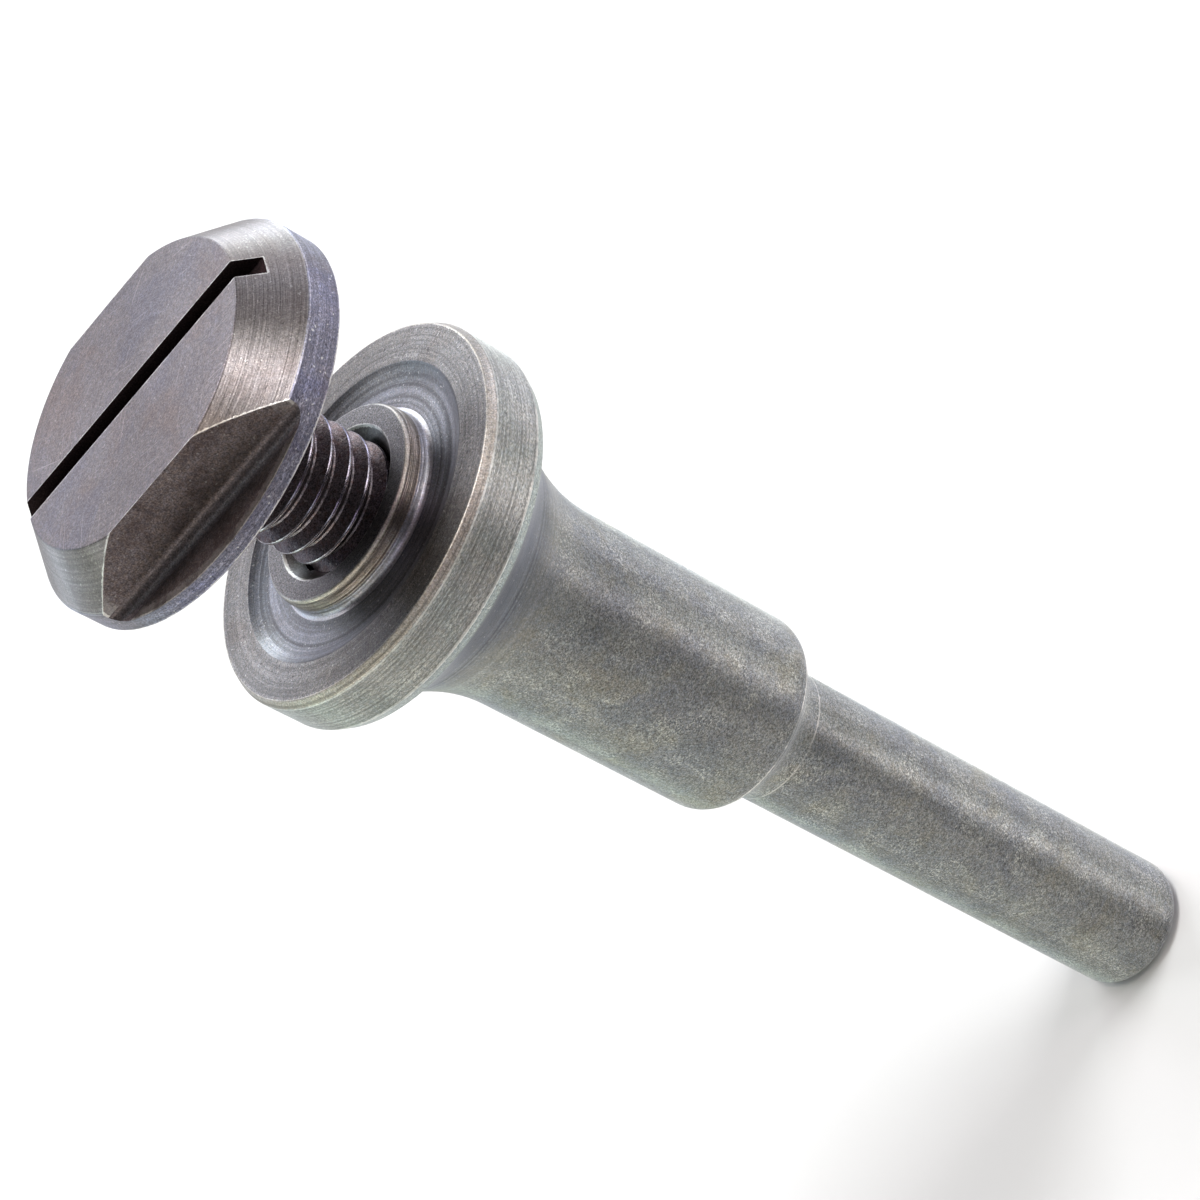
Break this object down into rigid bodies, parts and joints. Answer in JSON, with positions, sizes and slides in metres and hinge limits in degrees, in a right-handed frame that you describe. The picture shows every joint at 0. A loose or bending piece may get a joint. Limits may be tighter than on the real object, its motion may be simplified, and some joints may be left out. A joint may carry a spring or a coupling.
{
  "type": "cut-off wheel mandrel",
  "caption": "Turned steel mandrel with a round shank and a flange, and a slotted clamp screw that holds a thin abrasive wheel against it.",
  "frame": {"origin": "centre of the shank's end face", "axes": "+Z along the arbor's axis, from the shank end to the screw head"},
  "size_m": [0.018, 0.018, 0.0608],
  "materials": {
    "arbor_steel": "satin, turned, lightly tarnished",
    "screw_steel": "turned, dark oxide tint"
  },
  "bodies": {
    "arbor": {"arbor": "arbor_steel"},
    "screw": {"clamp_screw": "screw_steel"}
  },
  "joints": [
    {"name": "screw_travel", "type": "slide", "parent": "arbor", "child": "screw", "axis": [0, 0, 1], "range_m": [-0.007, 0.009]}
  ]
}
